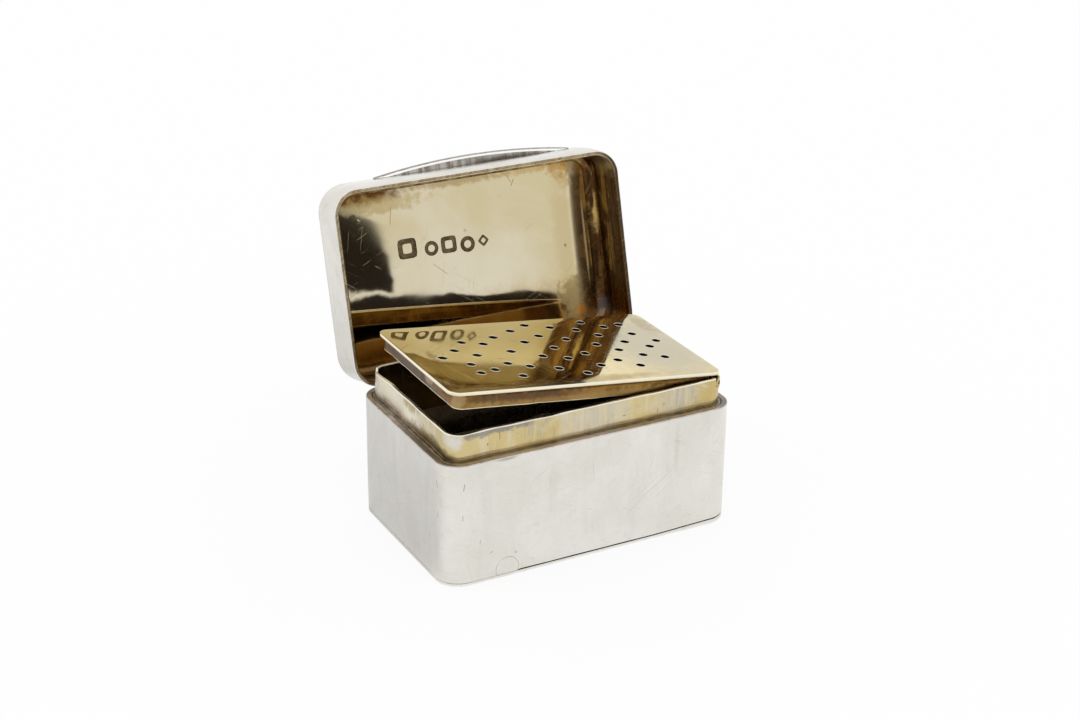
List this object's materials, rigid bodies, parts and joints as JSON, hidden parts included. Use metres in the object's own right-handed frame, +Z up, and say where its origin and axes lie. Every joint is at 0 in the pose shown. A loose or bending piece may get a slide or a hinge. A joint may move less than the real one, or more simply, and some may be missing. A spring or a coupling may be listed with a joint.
{
  "type": "vinaigrette box",
  "caption": "Small rectangular silver scent box with a hinged lid, crescent thumbpiece, gilt collar, pierced gilt grille on its own side hinge and a sponge beneath it.",
  "frame": {"origin": "middle of the flat underside of the base, which rests on the table", "axes": "+X to the right along the long side, +Y to the back where the lid is hinged, +Z up; -Y is the front with the round plug"},
  "size_m": [0.0323, 0.0305, 0.0324],
  "materials": {
    "silver": "worn polished silver with fine scratches",
    "tarnished_silver": "tarnished silver, dull",
    "gilt": "pale worn gilding over silver",
    "sponge": "dry natural sponge, open pores"
  },
  "bodies": {
    "body": {"base_plate": "silver", "body_wall": "silver", "wall_plug": "silver", "ledge_strip": "tarnished_silver", "collar": "gilt", "body_hinge_bearer": "silver", "body_knuckle_left": "silver", "body_knuckle_middle": "silver", "body_knuckle_right": "silver", "lid_hinge_pin": "silver", "collar_knuckle_front": "gilt", "collar_knuckle_middle": "gilt", "collar_knuckle_back": "gilt", "grille_hinge_pin": "silver", "sponge": "sponge"},
    "lid": {"lid_band": "silver", "lid_top": "silver", "thumbpiece": "silver", "lid_hinge_bearer": "silver", "lid_knuckle_left": "silver", "lid_knuckle_right": "silver"},
    "grille": {"grille_plate": "gilt", "grille_frame": "gilt", "grille_knuckle_front": "gilt", "grille_knuckle_back": "gilt"}
  },
  "joints": [
    {"name": "lid_hinge", "type": "hinge", "parent": "body", "child": "lid", "pos_m": [0, 0.01, 0.01273], "axis": [1, 0, 0], "range_deg": [0, 105]},
    {"name": "grille_hinge", "type": "hinge", "parent": "body", "child": "grille", "pos_m": [0.01472, 0, 0.01503], "axis": [0, 1, 0], "range_deg": [-7.3, 82]}
  ],
  "couplings": [
    {"joint": "grille_hinge", "follows": "lid_hinge", "ratio": -0.0695}
  ]
}
